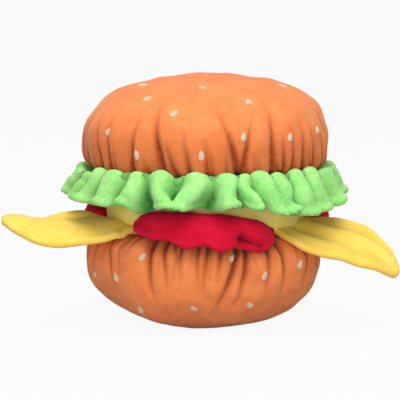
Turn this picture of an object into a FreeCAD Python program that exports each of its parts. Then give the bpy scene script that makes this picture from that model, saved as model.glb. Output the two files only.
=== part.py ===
import FreeCAD, Part

import math
import os

from FreeCAD import Vector

# A soft plush toy in the shape of a hamburger, sewn from velour and stuffed with fibre.
# All sizes are in millimetres. +Z is up, the front faces -Y and the origin is the centre
# of the flat patch that the toy rests on. Azimuths run from the front towards +X.
#
# From the floor up: a stuffed bottom bun, gathered into a seam; six loose flaps sewn in
# above that seam, alternately tomato red and cheese yellow; a drum-shaped middle cushion;
# a pleated lettuce frill sewn in above it; and a stuffed top bun, gathered like the other.

# Fabric
VELOUR = 1.8
LINING = 1.2
FLAP_THICKNESS = 3.8
FRILL_THICKNESS = 4.0
SEAM_GAP = 0.3
THREAD_RADIUS = 0.3
THREAD_CLEARANCE = 0.1

# Middle cushion
BAND_RADIUS = 55.0
BAND_BULGE = 1.0
LOWER_SEAM_Z = 54.0
BAND_HEIGHT = 31.0
UPPER_SEAM_Z = LOWER_SEAM_Z + BAND_HEIGHT

# Top bun: a rounded dome above its widest line and a tight tuck below it
TOP_BUN_RADIUS = 70.0
TOP_BUN_WIDEST_Z = UPPER_SEAM_Z + 16.0
TOP_BUN_CROWN = 37.0
TOP_BUN_CROWN_POWER = 2.8
TOP_BUN_TUCK_POWER = 5.0
TOP_BUN_CAP_RADIUS = 12.0
TOP_BUN_PLEATS = 34
TOP_BUN_PLEAT_DEPTH = 3.2

# Bottom bun: the same form upside down, flattened where it rests
BOTTOM_BUN_RADIUS = 67.3
BOTTOM_BUN_WIDEST_Z = LOWER_SEAM_Z - 15.6
BOTTOM_BUN_CROWN_POWER = 2.5
BOTTOM_BUN_TUCK_POWER = 3.2
RESTING_RADIUS = 28.0
BOTTOM_BUN_PLEATS = 30
BOTTOM_BUN_PLEAT_DEPTH = 2.8

BUN_RIM_RADIUS = BAND_RADIUS + 1.0
BUN_LEVELS = 16
PLEAT_REACH = 0.55
PLEAT_UNEVENNESS = 0.1

# Lettuce frill
FRILL_PLEATS = 30
FRILL_PLEAT_DEPTH = 4.4
FRILL_ROOT_RADIUS = BAND_RADIUS + BAND_BULGE + SEAM_GAP
FRILL_ROOT_DROP = 0.7
FRILL_KNEE_RADIUS = TOP_BUN_RADIUS + 1.2
FRILL_KNEE_RISE = 7.2
FRILL_HEM_RADIUS = TOP_BUN_RADIUS + 11.5
FRILL_HEM_Z = 69.5

# Flaps
FLAP_ROOT_RADIUS = BAND_RADIUS + THREAD_CLEARANCE + 2 * THREAD_RADIUS + SEAM_GAP
FLAP_LIFT_ANGLE = 15.0
TOMATO_HALF_WIDTH = 37.0
BACK_TOMATO_HALF_WIDTH = 26.0
TOMATO_AZIMUTH = 125.0
CHEESE_BACK_TURN = -114.0

# Sesame seeds, embroidered as raised satin-stitch drops
SEED_LENGTH = 5.2
SEED_WIDTH = 3.4
SEED_HEIGHT = 1.1

# Squeaker in the bottom bun's filling
SQUEAKER_RADIUS = 17.0
SQUEAKER_HEIGHT = 18.0
SQUEAKER_WALL = 0.9
SQUEAKER_WAIST = 2.5
SQUEAKER_BASE_Z = 16.0
REED_RADIUS = 4.0
REED_LENGTH = 6.0
REED_HOLE_RADIUS = 1.2


def polar(radius, azimuth, z):
    """The point at an azimuth in degrees, counted from the front towards +X."""
    turn = math.radians(azimuth)
    return Vector(radius * math.sin(turn), -radius * math.cos(turn), z)


def disc(radius, bottom_z, top_z):
    """A round plate about the upright axis, between two heights."""
    return Part.makeCylinder(radius, top_z - bottom_z, Vector(0, 0, bottom_z))


def bun_profile(radius, widest_z, crown, crown_power, tuck, tuck_power, cap_radius, up):
    """(radius, height) points from a bun's seam rim, over its side, to its flat cap, evenly spaced."""
    rim_angle = -math.acos((BUN_RIM_RADIUS / radius) ** (tuck_power / 2))
    cap_angle = math.acos((cap_radius / radius) ** (crown_power / 2))
    fine = []
    steps = 400
    for step in range(steps + 1):
        angle = rim_angle + (cap_angle - rim_angle) * step / steps
        power, height = (crown_power, crown) if angle > 0 else (tuck_power, tuck)
        rise = height * abs(math.sin(angle)) ** (2 / power) * (1 if angle > 0 else -1)
        fine.append((radius * math.cos(angle) ** (2 / power), widest_z + up * rise))
    return evenly(fine, BUN_LEVELS)


def evenly(points, count):
    """count + 1 points at equal distances along a line of (radius, height) points."""
    walked = [0.0]
    for before, after in zip(points, points[1:]):
        walked.append(walked[-1] + math.dist(before, after))
    picked = []
    for step in range(count + 1):
        target = walked[-1] * step / count
        nearest = min(range(len(points)), key=lambda index: abs(walked[index] - target))
        picked.append(points[nearest])
    return picked


def inset(points, distance, side):
    """The line of points moved sideways by a distance. Its ends keep to their level planes."""
    moved = []
    last = len(points) - 1
    for index, (radius, z) in enumerate(points):
        before = points[max(index - 1, 0)]
        after = points[min(index + 1, last)]
        run = math.dist(before, after)
        across = (before[1] - after[1]) / run * side
        along = (after[0] - before[0]) / run * side
        if index == 0:
            moved.append((radius - distance, z))
        else:
            moved.append((radius + across * distance, z + along * distance))
    return moved


def pleat_azimuth(index, count):
    """Where a pleat's crease runs. The pleats are unevenly wide, as hand gathers are."""
    wander = PLEAT_UNEVENNESS * (math.sin(2.3 * index) + math.sin(5.1 * index))
    return 360.0 * (index + wander * (index % count != 0)) / count


def pleat_share(index, count):
    """How deep a pleat is, as a share of the deepest."""
    return 0.72 + 0.28 * math.sin(3.7 * (index % count))


def scalloped_ring(radius, z, depth, count):
    """A closed line of arcs that bulge out between creases."""
    arcs = []
    for index in range(count):
        start = pleat_azimuth(index, count)
        end = pleat_azimuth(index + 1, count) if index + 1 < count else 360.0
        crease = polar(radius - depth * pleat_share(index, count), start, z)
        next_crease = polar(radius - depth * pleat_share(index + 1, count), end, z)
        puff = polar(radius, (start + end) / 2, z)
        arcs.append(Part.Arc(crease, puff, next_crease).toShape())
    return Part.Wire(arcs)


def pleated_solid(points, depths, count):
    """A solid through scalloped rings."""
    rings = [scalloped_ring(radius, z, depth, count) for (radius, z), depth in zip(points, depths)]
    return Part.makeLoft(rings, True, False)


def bun(points, pleat_depth, count, up):
    """The outer form of a bun and the room inside its cover."""
    depths = []
    for index in range(len(points)):
        reached = index / (len(points) - 1) / PLEAT_REACH
        depths.append(pleat_depth * max(0.0, 1 - reached) ** 0.8)
    outer = pleated_solid(points, depths, count)
    inner = pleated_solid(inset(points, VELOUR, up), depths, count)
    return outer, inner


def seed(outer, profile, azimuth, z, turn):
    """One raised drop on a bun's side, its underside cut to the cover."""
    index = min(range(1, len(profile) - 1), key=lambda i: abs(profile[i][1] - z))
    (r0, z0), (r1, z1) = profile[index - 1], profile[index + 1]
    slope = math.degrees(math.atan2(abs(r0 - r1), abs(z1 - z0)))
    share = (z - z0) / (z1 - z0)
    radius = r0 + (r1 - r0) * share
    middle_share = (profile[index][1] - z0) / (z1 - z0)
    sag = profile[index][0] - (r0 + (r1 - r0) * middle_share)
    radius += sag * 4 * share * (1 - share)
    lean = slope if (r1 - r0) * (z1 - z0) < 0 else -slope
    drop = Part.makeSphere(1.0)
    stretch = FreeCAD.Matrix()
    stretch.scale(SEED_HEIGHT, SEED_WIDTH / 2, SEED_LENGTH / 2)
    drop = drop.transformGeometry(stretch)
    drop.rotate(Vector(0, 0, 0), Vector(1, 0, 0), turn)
    drop.rotate(Vector(0, 0, 0), Vector(0, 1, 0), -lean)
    drop.translate(Vector(radius, 0, z))
    drop.rotate(Vector(0, 0, 0), Vector(0, 0, 1), azimuth - 90)
    return drop.cut(outer)


def seeds(outer, profile, places):
    """The front's seeds, where they lie, and the same ones again on the unseen back."""
    drops = []
    for half_turn in (0, 180):
        for number, (azimuth, z) in enumerate(places):
            drops.append(seed(outer, profile, azimuth + half_turn, z, 47.0 * number))
    return Part.makeCompound(drops)


def band_wall(inset_by):
    """The middle cushion's bulging side, as the solid inside it."""
    radius = BAND_RADIUS - inset_by
    low = Vector(radius, 0, LOWER_SEAM_Z)
    middle = Vector(radius + BAND_BULGE, 0, (LOWER_SEAM_Z + UPPER_SEAM_Z) / 2)
    high = Vector(radius, 0, UPPER_SEAM_Z)
    floor = Vector(0, 0, LOWER_SEAM_Z)
    roof = Vector(0, 0, UPPER_SEAM_Z)
    outline = Part.Wire([
        Part.makeLine(floor, low),
        Part.Arc(low, middle, high).toShape(),
        Part.makeLine(high, roof),
        Part.makeLine(roof, floor),
    ])
    return Part.Face(outline).revolve(Vector(0, 0, 0), Vector(0, 0, 1), 360)


def frill():
    """The lettuce: a doubled strip, gathered into the upper seam, that rises and then hangs."""
    root_z = UPPER_SEAM_Z - FRILL_ROOT_DROP
    knee_z = UPPER_SEAM_Z + FRILL_KNEE_RISE
    fall = knee_z - FRILL_HEM_Z
    flare = FRILL_HEM_RADIUS - FRILL_KNEE_RADIUS
    thick = FRILL_THICKNESS
    top_side = [
        (FRILL_ROOT_RADIUS, root_z),
        (FRILL_ROOT_RADIUS + 5.5, root_z + 0.6),
        (FRILL_KNEE_RADIUS - 4.5, knee_z - 5.0),
        (FRILL_KNEE_RADIUS - 1.2, knee_z - 2.0),
        (FRILL_KNEE_RADIUS + 0.6, knee_z - 0.1),
        (FRILL_KNEE_RADIUS + 0.35 * flare, knee_z - 0.035 * fall),
        (FRILL_KNEE_RADIUS + 0.62 * flare, knee_z - 0.21 * fall),
        (FRILL_KNEE_RADIUS + 0.84 * flare, knee_z - 0.54 * fall),
        (FRILL_HEM_RADIUS, FRILL_HEM_Z),
    ]
    under_side = [
        (FRILL_ROOT_RADIUS, root_z - thick),
        (FRILL_ROOT_RADIUS + 5.9, root_z - thick + 0.6),
        (FRILL_KNEE_RADIUS - 2.8, knee_z - thick - 4.7),
        (FRILL_KNEE_RADIUS + 0.4, knee_z - thick - 2.0),
        (FRILL_KNEE_RADIUS + 1.8, knee_z - thick - 0.7),
        (FRILL_KNEE_RADIUS + 0.35 * flare - 0.8, knee_z - 0.035 * fall - thick - 0.2),
        (FRILL_KNEE_RADIUS + 0.62 * flare - 0.6 * thick, knee_z - 0.21 * fall - 0.75 * thick),
        (FRILL_KNEE_RADIUS + 0.84 * flare - 0.92 * thick, knee_z - 0.54 * fall - 0.27 * thick),
        (FRILL_HEM_RADIUS - thick, FRILL_HEM_Z),
    ]
    last = len(top_side) - 1
    depths = [FRILL_PLEAT_DEPTH * (index / last) ** 1.5 for index in range(last + 1)]
    rings = []
    for (radius, z), depth in zip(top_side + under_side[::-1], depths + depths[::-1]):
        rings.append(scalloped_ring(radius, z, depth, FRILL_PLEATS))
    return Part.makeLoft(rings, True, True, True)


def rib(points, thickness):
    """A closed outline round a line of arcs in one upright plane, each through three points."""
    line = [Vector(*point) for point in points]
    last = len(line) - 1
    square = (line[last] - line[0]).cross(Vector(0, 0, 1))
    square.normalize()
    top = []
    under = []
    for index, point in enumerate(line):
        along = (line[min(index + 1, last)] - line[max(index - 1, 0)]).normalize()
        across = along.cross(square) * (thickness / 2)
        top.append(point + across)
        under.append(point - across)
    tip_reach = 0.45 * thickness
    root_tip = line[0] + (line[0] - line[1]).normalize() * tip_reach
    hem_tip = line[last] + (line[last] - line[last - 1]).normalize() * tip_reach
    edges = []
    for index in range(0, last, 2):
        edges.append(Part.Arc(*top[index:index + 3]).toShape())
    edges.append(Part.Arc(top[last], hem_tip, under[last]).toShape())
    for index in range(last, 0, -2):
        edges.append(Part.Arc(under[index], under[index - 1], under[index - 2]).toShape())
    edges.append(Part.Arc(under[0], root_tip, top[0]).toShape())
    return Part.Wire(edges)


def flap(ribs):
    """A doubled flap through its ribs. Its root follows the band, and leans back from it to lift."""
    outlines = [rib(points, FLAP_THICKNESS) for points in ribs]
    solid = Part.makeLoft(outlines, True, False)
    top_radius = FLAP_ROOT_RADIUS + BAND_HEIGHT * math.tan(math.radians(FLAP_LIFT_ANGLE))
    seam_centre = Vector(0, 0, LOWER_SEAM_Z)
    lifting_room = Part.makeCone(FLAP_ROOT_RADIUS, top_radius, BAND_HEIGHT, seam_centre)
    return solid.cut(lifting_room).cut(disc(FLAP_ROOT_RADIUS, 0, LOWER_SEAM_Z))


def tongue(edges):
    """A flap through ribs from its front edge to its back edge, each with its height half way."""
    ribs = []
    for front, back, middle_z in edges:
        middle = ((front[0] + back[0]) / 2, (front[1] + back[1]) / 2, middle_z)
        ribs.append((front, middle, back))
    return flap(ribs)


def cheese_left():
    """Sticks straight out, its front edge hanging lower than its back edge."""
    return tongue([
        ((-38, -38.5, 56.4), (-54, -2, 57.6), 57.9),
        ((-60, -45.5, 51.6), (-68, 0, 60.5), 57.5),
        ((-80, -48, 48.8), (-84, -3, 61.5), 57.2),
        ((-95, -46, 50.8), (-97, -8, 62.5), 58.5),
        ((-106, -40.5, 55.5), (-107, -18.5, 63.2), 60.4),
        ((-113.5, -34.5, 59), (-114, -25.5, 62.6), 61.2),
    ])


def cheese_right():
    """Droops towards its tip, with a shallow valley along it."""
    return tongue([
        ((39, -39, 56.4), (54.5, -2, 57.2), 57.4),
        ((57.6, -49, 49), (61, -1, 57.7), 55.2),
        ((73, -52, 42), (77, -6, 60), 49.5),
        ((87, -51, 38.5), (92, -11, 54.5), 44.6),
        ((98, -48, 34.8), (103, -23.5, 43.5), 38.2),
        ((105.8, -42.5, 32.4), (108, -35, 34.2), 33.0),
    ])


def tomato(half_width):
    """A wide tongue that arches up from its seam and hangs down in front of it."""
    shapes = [
        # place across the flap, reach outwards, then the crest and the hem above the seam
        (-1.00, 11.5, 7.0, 2.0),
        (-0.84, 17.0, 11.8, 0.0),
        (-0.45, 17.3, 14.2, -1.0),
        (0.00, 17.0, 14.4, -3.0),
        (0.45, 17.5, 12.4, -3.2),
        (0.78, 17.5, 8.0, -2.8),
        (1.00, 12.5, 5.0, -1.2),
    ]
    ribs = []
    for place, reach, rise, hem in shapes:
        x = place * half_width
        root_y = -math.sqrt(FLAP_ROOT_RADIUS ** 2 - x ** 2)
        bend = [
            (0, FLAP_THICKNESS / 2 + SEAM_GAP),
            (0.24 * reach, 0.66 * rise),
            (0.53 * reach, rise),
            (0.88 * reach, 0.6 * rise + 0.4 * hem),
            (reach, hem),
        ]
        ribs.append([(x, root_y - out, LOWER_SEAM_Z + up) for out, up in bend])
    return flap(ribs)


def turned(shape, azimuth):
    """A copy of a front piece, turned about the upright axis."""
    copy = shape.copy()
    copy.rotate(Vector(0, 0, 0), Vector(0, 0, 1), azimuth)
    return copy


def squeaker_envelope():
    """The waisted outside of the squeaker, as a solid."""
    top = SQUEAKER_BASE_Z + SQUEAKER_HEIGHT
    middle = SQUEAKER_BASE_Z + SQUEAKER_HEIGHT / 2
    return waisted(SQUEAKER_RADIUS, SQUEAKER_BASE_Z, middle, top)


def waisted(radius, base, middle, top):
    """A drum whose side draws in at mid height."""
    outline = Part.Wire([
        Part.makeLine(Vector(0, 0, base), Vector(radius, 0, base)),
        Part.makeLine(Vector(radius, 0, base), Vector(radius - SQUEAKER_WAIST, 0, middle)),
        Part.makeLine(Vector(radius - SQUEAKER_WAIST, 0, middle), Vector(radius, 0, top)),
        Part.makeLine(Vector(radius, 0, top), Vector(0, 0, top)),
        Part.makeLine(Vector(0, 0, top), Vector(0, 0, base)),
    ])
    return Part.Face(outline).revolve(Vector(0, 0, 0), Vector(0, 0, 1), 360)


def squeaker():
    """Blow-moulded bellows and the reed pressed into its mouth."""
    top = SQUEAKER_BASE_Z + SQUEAKER_HEIGHT
    middle = SQUEAKER_BASE_Z + SQUEAKER_HEIGHT / 2
    hollow = waisted(
        SQUEAKER_RADIUS - SQUEAKER_WALL, SQUEAKER_BASE_Z + SQUEAKER_WALL, middle, top - SQUEAKER_WALL
    )
    reed_bottom = top - REED_LENGTH
    plug = disc(REED_RADIUS, reed_bottom, top)
    reed = plug.cut(disc(REED_HOLE_RADIUS, reed_bottom - 1, top + 1))
    bellows = squeaker_envelope().cut(hollow).cut(plug)
    return bellows, reed


def thread_ring(radius, z):
    """A gathering thread that draws a bun's rim together."""
    return Part.makeTorus(radius, THREAD_RADIUS, Vector(0, 0, z))


def main():
    nodes = {}

    # Top bun
    rim_share = 1 - (BUN_RIM_RADIUS / TOP_BUN_RADIUS) ** TOP_BUN_TUCK_POWER
    top_tuck = (TOP_BUN_WIDEST_Z - UPPER_SEAM_Z) / rim_share ** (1 / TOP_BUN_TUCK_POWER)
    top_profile = bun_profile(
        TOP_BUN_RADIUS, TOP_BUN_WIDEST_Z, TOP_BUN_CROWN, TOP_BUN_CROWN_POWER,
        top_tuck, TOP_BUN_TUCK_POWER, TOP_BUN_CAP_RADIUS, 1,
    )
    top_outer, top_inner = bun(top_profile, TOP_BUN_PLEAT_DEPTH, TOP_BUN_PLEATS, 1)
    top_base_slab = disc(TOP_BUN_RADIUS, UPPER_SEAM_Z, UPPER_SEAM_Z + LINING)
    below_top_fill = disc(TOP_BUN_RADIUS * 2, LOWER_SEAM_Z, UPPER_SEAM_Z + LINING)
    nodes["top_bun_cover"] = top_outer.cut(top_inner)
    nodes["top_bun_base"] = top_inner.common(top_base_slab)
    nodes["top_bun_fill"] = top_inner.cut(below_top_fill)
    nodes["top_bun_seeds"] = seeds(top_outer, top_profile, [
        (-78, 135.8), (-40, 131.8), (-3, 136.6), (-16, 126.3), (-55, 113.4), (-33, 101.8),
        (-2, 103.4), (27, 130.8), (82, 134.1), (18, 112.6), (44, 110.4), (67, 111.7),
    ])

    # Bottom bun
    rim_share = 1 - (BUN_RIM_RADIUS / BOTTOM_BUN_RADIUS) ** BOTTOM_BUN_TUCK_POWER
    bottom_tuck = (LOWER_SEAM_Z - BOTTOM_BUN_WIDEST_Z) / rim_share ** (1 / BOTTOM_BUN_TUCK_POWER)
    rest_share = 1 - (RESTING_RADIUS / BOTTOM_BUN_RADIUS) ** BOTTOM_BUN_CROWN_POWER
    bottom_crown = BOTTOM_BUN_WIDEST_Z / rest_share ** (1 / BOTTOM_BUN_CROWN_POWER)
    bottom_profile = bun_profile(
        BOTTOM_BUN_RADIUS, BOTTOM_BUN_WIDEST_Z, bottom_crown, BOTTOM_BUN_CROWN_POWER,
        bottom_tuck, BOTTOM_BUN_TUCK_POWER, RESTING_RADIUS, -1,
    )
    bottom_outer, bottom_inner = bun(bottom_profile, BOTTOM_BUN_PLEAT_DEPTH, BOTTOM_BUN_PLEATS, -1)
    lid_slab = disc(BOTTOM_BUN_RADIUS, LOWER_SEAM_Z - LINING, LOWER_SEAM_Z)
    above_bottom_fill = disc(BOTTOM_BUN_RADIUS * 2, LOWER_SEAM_Z - LINING, UPPER_SEAM_Z)
    nodes["bottom_bun_cover"] = bottom_outer.cut(bottom_inner)
    nodes["bottom_bun_lid"] = bottom_inner.common(lid_slab)
    nodes["bottom_bun_fill"] = bottom_inner.cut(above_bottom_fill).cut(squeaker_envelope())
    nodes["bottom_bun_seeds"] = seeds(bottom_outer, bottom_profile, [
        (-32, 44.2), (-50, 30.9), (-70, 30.1), (-38, 13.4), (-7, 14.5),
        (13, 45.4), (30, 33.6), (51, 38.2), (25, 15.7),
    ])
    nodes["squeaker_bellows"], nodes["squeaker_reed"] = squeaker()

    # Middle cushion
    bottom_panel = disc(BAND_RADIUS * 2, LOWER_SEAM_Z - 1, LOWER_SEAM_Z + LINING)
    top_panel = disc(BAND_RADIUS * 2, UPPER_SEAM_Z - LINING, UPPER_SEAM_Z + 1)
    inside_band = band_wall(VELOUR)
    nodes["core_band"] = band_wall(0).cut(inside_band)
    nodes["core_bottom_panel"] = inside_band.common(bottom_panel)
    nodes["core_top_panel"] = inside_band.common(top_panel)
    nodes["core_fill"] = inside_band.cut(bottom_panel).cut(top_panel)

    # Gathering threads, in the creases beside the band
    thread_radius = BAND_RADIUS + THREAD_RADIUS + THREAD_CLEARANCE
    nodes["upper_gather_thread"] = thread_ring(thread_radius, UPPER_SEAM_Z - THREAD_RADIUS)
    nodes["lower_gather_thread"] = thread_ring(thread_radius, LOWER_SEAM_Z + THREAD_RADIUS)

    nodes["lettuce_frill"] = frill()

    # Flaps
    left = cheese_left()
    back_tomato = tomato(BACK_TOMATO_HALF_WIDTH)
    nodes["cheese_flap_left"] = left
    nodes["cheese_flap_right"] = cheese_right()
    nodes["cheese_flap_back"] = turned(left, CHEESE_BACK_TURN)
    nodes["tomato_flap_front"] = tomato(TOMATO_HALF_WIDTH)
    nodes["tomato_flap_back_left"] = turned(back_tomato, -TOMATO_AZIMUTH)
    nodes["tomato_flap_back_right"] = turned(back_tomato, TOMATO_AZIMUTH)

    os.makedirs("parts", exist_ok=True)
    for name, shape in nodes.items():
        valid = "valid" if shape.isValid() else "NOT VALID"
        print(f"{name}: {len(shape.Solids)} solids, {shape.Volume / 1000:.2f} cm3, {valid}")
        shape.exportStep(f"parts/{name}.step")


main()
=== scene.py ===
import math

import bmesh
import bpy
import numpy as np
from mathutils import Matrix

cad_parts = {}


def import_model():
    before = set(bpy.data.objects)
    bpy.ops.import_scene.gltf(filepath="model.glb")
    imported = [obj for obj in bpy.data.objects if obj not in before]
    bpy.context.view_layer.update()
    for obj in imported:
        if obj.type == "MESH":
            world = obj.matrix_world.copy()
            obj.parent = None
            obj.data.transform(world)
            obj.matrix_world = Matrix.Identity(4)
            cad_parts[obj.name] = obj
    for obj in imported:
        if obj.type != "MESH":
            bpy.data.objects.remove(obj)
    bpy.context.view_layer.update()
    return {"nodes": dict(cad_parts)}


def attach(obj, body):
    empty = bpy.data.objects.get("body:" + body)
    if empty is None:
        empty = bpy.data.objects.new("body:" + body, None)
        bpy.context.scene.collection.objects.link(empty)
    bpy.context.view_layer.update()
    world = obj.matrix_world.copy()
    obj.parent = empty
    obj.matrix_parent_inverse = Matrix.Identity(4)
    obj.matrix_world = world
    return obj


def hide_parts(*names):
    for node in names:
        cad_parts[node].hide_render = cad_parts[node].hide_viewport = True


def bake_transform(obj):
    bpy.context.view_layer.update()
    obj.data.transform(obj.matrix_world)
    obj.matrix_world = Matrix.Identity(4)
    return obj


# A plush hamburger, sewn from velour and stuffed: two gathered buns, a middle cushion, a
# pleated lettuce frill and six loose flaps. Lengths are in millimetres until a mesh is made,
# azimuths are in degrees from the front (-Y) towards +X.

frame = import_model()

MILLIMETRE = 0.001

# The toy's main sizes
BAND_RADIUS = 55.0
LOWER_SEAM_Z = 54.0
UPPER_SEAM_Z = 85.0
RIM_RADIUS = 56.0
TOP_BUN = {"radius": 70.0, "widest_z": 101.0, "crown": 37.0, "crown_power": 2.8, "tuck_power": 5.0}
BOTTOM_BUN = {"radius": 67.3, "widest_z": 38.4, "crown_power": 2.5, "tuck_power": 3.2}
RESTING_RADIUS = 28.0
FLAP_THICKNESS = 3.8
FLAP_ROOT_RADIUS = 56.0
FRILL_FOLDS = 30
SEED_LENGTH = 5.2
SEED_WIDTH = 3.7
SEED_HEIGHT = 1.1


# Curves and unevenness

def spline(points, places):
    """A natural cubic curve through points, read at places that are counted in points."""
    points = np.asarray(points, float)
    places = np.asarray(places, float)
    count = len(points)
    system = np.eye(count)
    bends = np.zeros_like(points)
    for index in range(1, count - 1):
        system[index, index - 1:index + 2] = (1, 4, 1)
        bends[index] = 6 * (points[index + 1] - 2 * points[index] + points[index - 1])
    bends = np.linalg.solve(system, bends.reshape(count, -1)).reshape(points.shape)
    start = np.clip(np.floor(places).astype(int), 0, count - 2)
    share = (places - start).reshape(places.shape + (1,) * (points.ndim - 1))
    straight = (1 - share) * points[start] + share * points[start + 1]
    bow = (2 - share) * bends[start] + (1 + share) * bends[start + 1]
    return straight - share * (1 - share) / 6 * bow


def evenly(points, count):
    """A line of points read again at equal distances."""
    steps = np.linalg.norm(np.diff(points, axis=0), axis=1)
    walked = np.concatenate([[0], np.cumsum(steps)])
    places = np.linspace(0, walked[-1], count)
    return np.stack([np.interp(places, walked, points[:, axis]) for axis in range(points.shape[1])], 1)


def eased(value):
    """A share from 0 to 1 that starts and ends gently."""
    value = np.clip(value, 0, 1)
    return value * value * (3 - 2 * value)


def wander(points, wavelength, seed, waves=12):
    """Smooth unevenness of about -1 to 1 over points: plane waves in fixed directions."""
    draw = np.random.default_rng(seed)
    total = np.zeros(points.shape[:-1])
    for _ in range(waves):
        direction = draw.normal(size=3)
        direction *= 2 * math.pi / (np.linalg.norm(direction) * wavelength * draw.uniform(0.7, 1.4))
        total += np.sin(points @ direction + draw.uniform(0, 2 * math.pi))
    return total / math.sqrt(waves)


def polar(radius, azimuth, z):
    """Points round the upright axis."""
    turn = np.radians(azimuth)
    radius, turn, z = np.broadcast_arrays(radius, turn, z)
    return np.stack([radius * np.sin(turn), -radius * np.cos(turn), z], -1)


# Meshes

def placed(name, data):
    """A new object in the scene, at the origin."""
    thing = bpy.data.objects.new(name, data)
    bpy.context.collection.objects.link(thing)
    return thing


def quads(rows, columns, ring):
    """The faces of a grid of points, whose rows may close into rings."""
    row, column = np.mgrid[0:rows - 1, 0:columns if ring else columns - 1]
    following = (column + 1) % columns
    here, beside = row * columns + column, row * columns + following
    return np.stack([here, beside, beside + columns, here + columns], -1).reshape(-1, 4)


def capped(rows, columns):
    """The faces of a ringed grid, with each end closed to one of two points that come after it."""
    faces = quads(rows, columns, True).tolist()
    first_centre, last_centre = rows * columns, rows * columns + 1
    last = (rows - 1) * columns
    for column in range(columns):
        following = (column + 1) % columns
        faces.append([following, column, first_centre])
        faces.append([last + column, last + following, last_centre])
    return faces


def grid_normals(points, ring):
    """The unit normals of a grid of points."""
    along = np.gradient(points, axis=0)
    if ring:
        across = np.roll(points, -1, axis=1) - np.roll(points, 1, axis=1)
    else:
        across = np.gradient(points, axis=1)
    normals = np.cross(across, along)
    return normals / np.maximum(np.linalg.norm(normals, axis=-1, keepdims=True), 1e-9)


def make_piece(name, points, faces, finish, **shares):
    """A closed piece from points in millimetres, with shares kept as attributes."""
    mesh = bpy.data.meshes.new(name)
    mesh.from_pydata((points.reshape(-1, 3) * MILLIMETRE).tolist(), [], faces)
    for label, values in shares.items():
        attribute = mesh.attributes.new(label, "FLOAT", "POINT")
        attribute.data.foreach_set("value", np.ascontiguousarray(values, np.float32).ravel())
    shell = bmesh.new()
    shell.from_mesh(mesh)
    bmesh.ops.remove_doubles(shell, verts=shell.verts, dist=1e-6)
    bmesh.ops.dissolve_degenerate(shell, edges=shell.edges, dist=1e-7)
    bmesh.ops.recalc_face_normals(shell, faces=shell.faces)
    shell.to_mesh(mesh)
    shell.free()
    mesh.shade_smooth()
    mesh.materials.append(finish)
    return placed(name, mesh)


# Finishes

def add_node(tree, kind, settings=None, sockets=None):
    """A new node: its settings come first, then each socket gets a value or a link."""
    node = tree.nodes.new(kind)
    for setting, value in (settings or {}).items():
        setattr(node, setting, value)
    for key, value in (sockets or {}).items():
        if isinstance(value, bpy.types.NodeSocket):
            tree.links.new(value, node.inputs[key])
        else:
            node.inputs[key].default_value = value
    return node


class Value:
    """A shader socket that adds Math nodes where an expression uses it."""

    def __init__(self, finish, socket):
        self.finish = finish
        self.socket = socket

    def maths(self, operation, *numbers):
        node = self.finish.node("ShaderNodeMath", {"operation": operation}, dict(enumerate(numbers)))
        return Value(self.finish, node.outputs[0])

    def __add__(self, other):
        return self.maths("ADD", self, other)

    def __radd__(self, other):
        return self.maths("ADD", other, self)

    def __sub__(self, other):
        return self.maths("SUBTRACT", self, other)

    def __rsub__(self, other):
        return self.maths("SUBTRACT", other, self)

    def __mul__(self, other):
        return self.maths("MULTIPLY", self, other)

    def __rmul__(self, other):
        return self.maths("MULTIPLY", other, self)

    def clamped(self):
        return self.maths("MINIMUM", self.maths("MAXIMUM", self, 0.0), 1.0)


class Finish:
    """A material, with one method that adds any node to it."""

    def __init__(self, name):
        self.material = bpy.data.materials.new(name)
        self.material.use_nodes = True
        self.tree = self.material.node_tree
        self.tree.nodes.clear()

    def node(self, kind, settings=None, sockets=None):
        plain = {key: getattr(value, "socket", value) for key, value in (sockets or {}).items()}
        return add_node(self.tree, kind, settings, plain)

    def value(self, kind, output, settings=None, sockets=None):
        return Value(self, self.node(kind, settings, sockets).outputs[output])

    def noise(self, size, detail=2.0, distortion=0.0):
        """Cloudy noise whose blots are about size millimetres wide."""
        place = self.value("ShaderNodeTexCoord", "Object")
        return self.value("ShaderNodeTexNoise", 0, None, {
            "Vector": place, "Scale": 1 / (size * MILLIMETRE), "Detail": detail, "Distortion": distortion,
        })

    def mixed(self, share, first, second):
        """A colour between two colours."""
        return self.value("ShaderNodeMix", 2, {"data_type": "RGBA"}, {0: share, 6: first, 7: second})

    def surface(self, sockets):
        """The shader that ends the tree."""
        shader = self.node("ShaderNodeBsdfPrincipled", None, sockets)
        self.node("ShaderNodeOutputMaterial", None, {"Surface": shader.outputs[0]})
        return self.material


def linear(red, green, blue):
    """A screen colour from 0 to 255, as the shader's linear colour."""
    colour = []
    for channel in (red, green, blue):
        step = channel / 255
        colour.append(step / 12.92 if step <= 0.04045 else ((step + 0.055) / 1.055) ** 2.4)
    return (*colour, 1.0)


PILE_SIZE = 0.8
MOTTLE_SIZE = 2.4
NAP_SIZE = 14.0


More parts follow.
